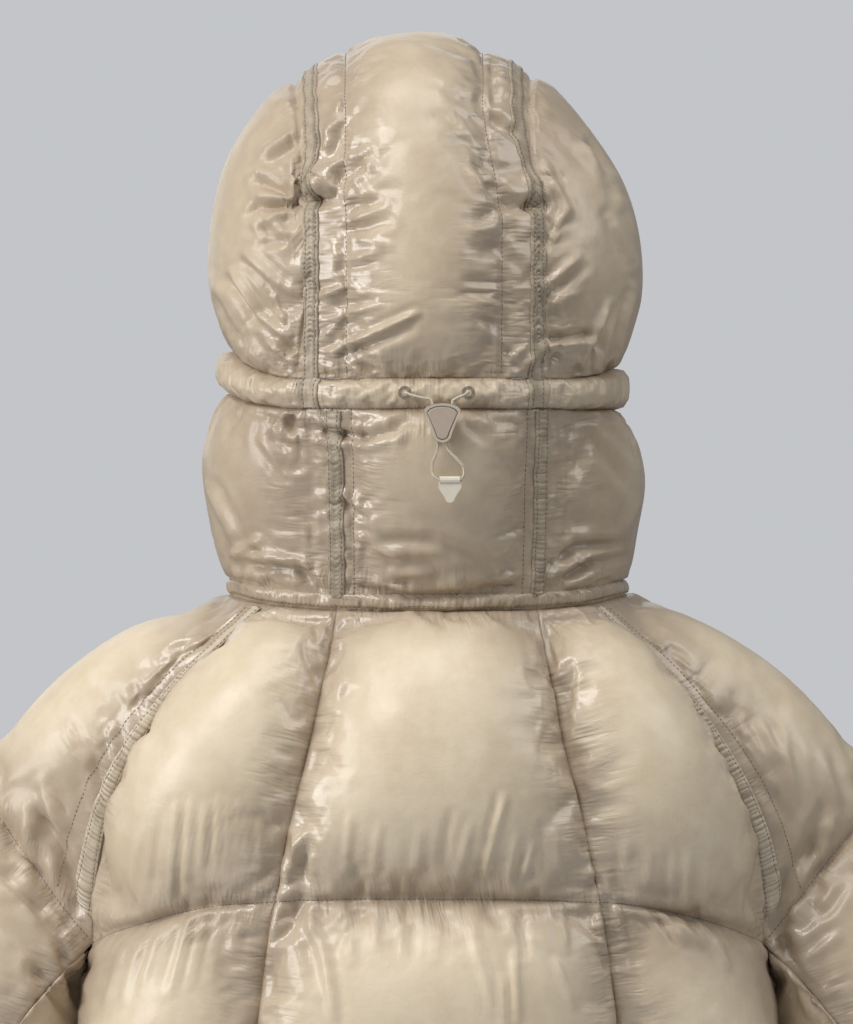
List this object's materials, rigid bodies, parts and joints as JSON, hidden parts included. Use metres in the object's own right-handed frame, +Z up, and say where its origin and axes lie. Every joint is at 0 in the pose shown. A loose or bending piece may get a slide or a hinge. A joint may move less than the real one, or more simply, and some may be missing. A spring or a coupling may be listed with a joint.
{
  "type": "hooded down jacket",
  "caption": "Short hooded down jacket of thin quilted nylon, worn shape, hood up, with a cord-adjusted hood, raglan sleeves and a zip front.",
  "frame": {"origin": "middle of the neck seam, where the garment rests round the wearer's neck and shoulders", "axes": "+Z up, +X towards the wearer's left, -Y forward: the back and its cord lock face +Y"},
  "size_m": [0.851, 0.3385, 1.0795],
  "materials": {
    "shell_nylon": "thin glossy down-proof nylon",
    "trim_nylon": "flat folded nylon, gathered by stitching",
    "cord": "fine braided cord",
    "lock_plastic": "satin moulded plastic",
    "zip_metal": "satin painted metal"
  },
  "bodies": {
    "jacket": {"back_centre": "shell_nylon", "back_side_left": "shell_nylon", "back_side_right": "shell_nylon", "collar_strip": "trim_nylon", "cord_end_tab": "lock_plastic", "cord_lock_body": "lock_plastic", "cord_lock_button": "lock_plastic", "cuff_left": "trim_nylon", "cuff_right": "trim_nylon", "drawcord": "cord", "eyelet_left": "zip_metal", "eyelet_right": "zip_metal", "front_left": "shell_nylon", "front_right": "shell_nylon", "hem_band": "trim_nylon", "hood_binding": "trim_nylon", "hood_centre": "shell_nylon", "hood_side_left": "shell_nylon", "hood_side_right": "shell_nylon", "hood_tape_left": "trim_nylon", "hood_tape_right": "trim_nylon", "lower_centre": "shell_nylon", "lower_side_left": "shell_nylon", "lower_side_right": "shell_nylon", "lower_tape_left": "trim_nylon", "lower_tape_right": "trim_nylon", "raglan_tape_left": "trim_nylon", "raglan_tape_right": "trim_nylon", "sleeve_outer_left": "shell_nylon", "sleeve_outer_right": "shell_nylon", "sleeve_under_left": "shell_nylon", "sleeve_under_right": "shell_nylon", "tunnel_back": "shell_nylon", "tunnel_side_left": "shell_nylon", "tunnel_side_right": "shell_nylon", "zip_chain": "zip_metal", "zip_slider": "zip_metal", "zip_tape_left": "trim_nylon", "zip_tape_right": "trim_nylon"},
    "zip_pull": {"zip_pull": "zip_metal"}
  },
  "joints": [
    {"name": "zip_pull_swing", "type": "hinge", "parent": "jacket", "child": "zip_pull", "pos_m": [0, -0.15424, 0.0501], "axis": [-1, 0, 0], "range_deg": [0, 140]}
  ]
}
